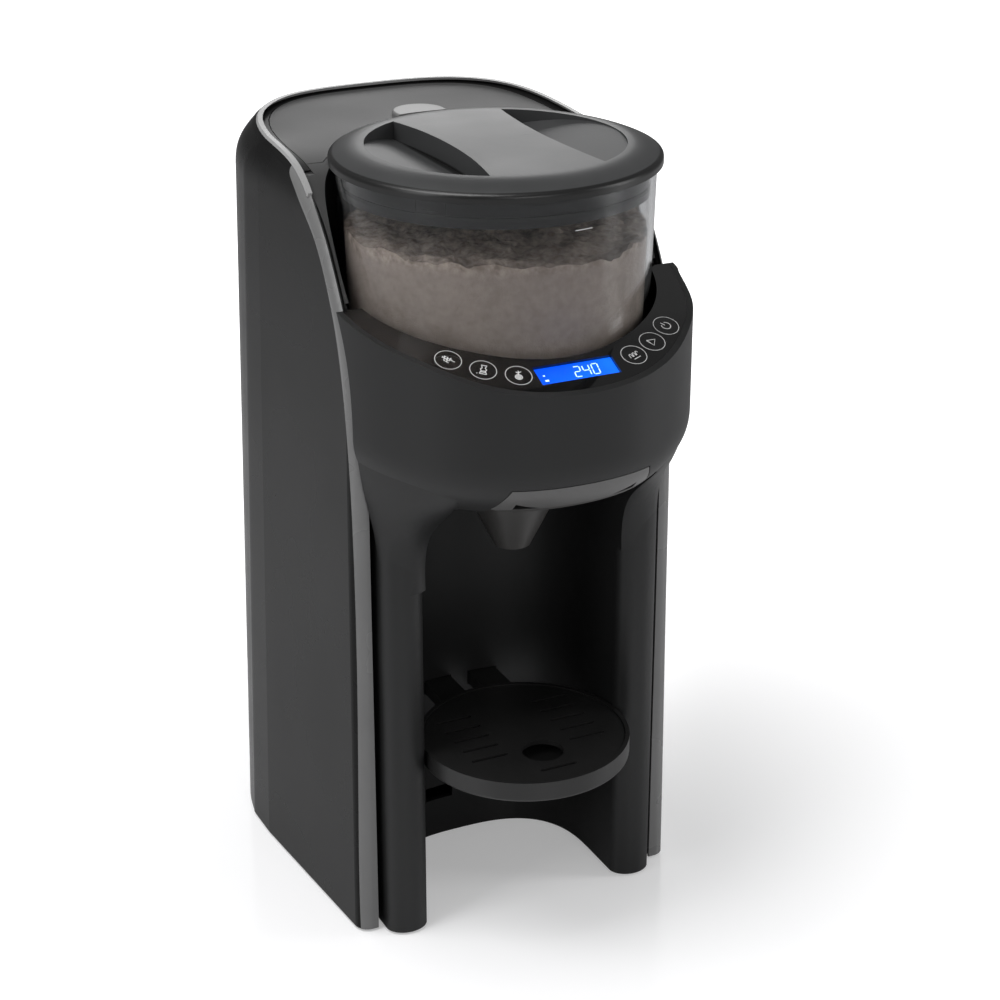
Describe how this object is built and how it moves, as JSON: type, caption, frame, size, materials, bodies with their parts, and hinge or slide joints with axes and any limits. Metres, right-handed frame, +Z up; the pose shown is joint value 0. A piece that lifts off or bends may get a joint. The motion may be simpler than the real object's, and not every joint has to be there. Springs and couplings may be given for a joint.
{
  "type": "baby formula maker",
  "caption": "Countertop baby formula maker: glossy wrap-round casing, overhanging head with clear powder tub, touch panel, pull-out funnel and bottle table.",
  "frame": {"origin": "middle of the footprint on the counter", "axes": "+Z up, -Y towards the user at the front, +X to the user's right"},
  "size_m": [0.164, 0.224, 0.339],
  "materials": {
    "casing_black": "semi-gloss",
    "housing_charcoal": "fine matt texture",
    "deck_charcoal": "matt",
    "strip_grey": "satin",
    "trim_grey": "satin",
    "lid_grey": "fine matt",
    "panel_gloss": "piano gloss",
    "display_blue": "backlit display behind glass",
    "tub_clear": "clear moulded plastic",
    "tank_clear": "smoky clear plastic",
    "powder": "loose powder",
    "funnel_grey": "smooth matt",
    "table_black": "matt",
    "inner_white": "moulded",
    "gear_acetal": "self-lubricating",
    "seal_rubber": "soft",
    "foot_rubber": "soft",
    "hose_silicone": "translucent",
    "steel": "brushed",
    "motor_can": "plated",
    "heater_steel": "drawn stainless steel",
    "board_green": "solder resist",
    "component_black": "moulded"
  },
  "bodies": {
    "machine": {"rear_casing": "casing_black", "edge_strip_right": "strip_grey", "edge_strip_left": "strip_grey", "rim_trim": "trim_grey", "front_housing": "housing_charcoal", "base_cover": "housing_charcoal", "rubber_feet": "foot_rubber", "base_screws": "steel", "hopper_well": "housing_charcoal", "well_screws": "steel", "gear_chassis": "inner_white", "gear_axle": "steel", "drive_motor": "motor_can", "motor_screws": "steel", "deck_collar": "deck_charcoal", "tank_shelf": "inner_white", "tank_dock": "inner_white", "dock_seal": "seal_rubber", "pump_mount": "foot_rubber", "pump_motor": "motor_can", "pump_head": "component_black", "heater": "heater_steel", "heater_bracket": "inner_white", "thermostat": "component_black", "inlet_hose": "hose_silicone", "feed_hose": "hose_silicone", "spout_hose": "hose_silicone", "funnel_rails": "inner_white", "water_spout": "inner_white", "control_fascia": "panel_gloss", "lcd_window": "display_blue", "touch_board": "board_green", "display_module": "component_black", "power_board": "board_green", "board_parts": "component_black", "board_screws": "steel", "cord_gland": "foot_rubber"},
    "powder_container": {"tub_base": "housing_charcoal", "powder_tub": "tub_clear", "scraper": "steel", "powder_charge": "powder"},
    "container_lid": {"powder_lid": "lid_grey", "lid_seal": "seal_rubber"},
    "dosing_drive": {"dosing_wheel": "gear_acetal", "stirrer": "inner_white"},
    "gear": {"drive_gear": "gear_acetal"},
    "pinion": {"motor_pinion": "gear_acetal", "motor_shaft": "steel"},
    "funnel_drawer": {"funnel": "funnel_grey"},
    "bottle_table": {"table_cup": "table_black", "table_grate": "table_black"},
    "tank": {"water_tank": "tank_clear", "tank_valve": "inner_white", "valve_spring": "steel"},
    "tank_cover": {"tank_lid": "deck_charcoal", "lid_tab": "strip_grey"},
    "plunger": {"valve_plunger": "seal_rubber"}
  },
  "joints": [
    {"name": "container_lift", "type": "slide", "parent": "machine", "child": "powder_container", "axis": [0, 0, 1], "range_m": [0, 0.12]},
    {"name": "container_lid_lift", "type": "slide", "parent": "powder_container", "child": "container_lid", "axis": [0, 0, 1], "range_m": [0, 0.05]},
    {"name": "drive_gear_spin", "type": "hinge", "parent": "machine", "child": "gear", "pos_m": [0, -0.027, 0.2294], "axis": [0, 0, 1], "continuous": true},
    {"name": "pinion_spin", "type": "hinge", "parent": "machine", "child": "pinion", "pos_m": [0, 0.028, 0.2294], "axis": [0, 0, 1], "continuous": true},
    {"name": "dosing_spin", "type": "hinge", "parent": "powder_container", "child": "dosing_drive", "pos_m": [0, -0.027, 0.2415], "axis": [0, 0, 1], "continuous": true},
    {"name": "funnel_slide", "type": "slide", "parent": "machine", "child": "funnel_drawer", "axis": [0, -1, 0], "range_m": [0, 0.1]},
    {"name": "table_slide", "type": "slide", "parent": "machine", "child": "bottle_table", "axis": [0, -1, 0], "range_m": [0, 0.08]},
    {"name": "tank_lift", "type": "slide", "parent": "machine", "child": "tank", "axis": [0, 0, 1], "range_m": [0, 0.29]},
    {"name": "tank_lid_lift", "type": "slide", "parent": "tank", "child": "tank_cover", "axis": [0, 0, 1], "range_m": [0, 0.05]},
    {"name": "valve_stroke", "type": "slide", "parent": "tank", "child": "plunger", "axis": [0, 0, 1], "range_m": [0, 0.002], "stiffness_N_per_m": 200, "springref_m": -0.003, "deforming": ["valve_spring"]}
  ],
  "couplings": [
    {"joint": "pinion_spin", "follows": "drive_gear_spin", "ratio": -4},
    {"joint": "dosing_spin", "follows": "drive_gear_spin", "ratio": 1}
  ]
}
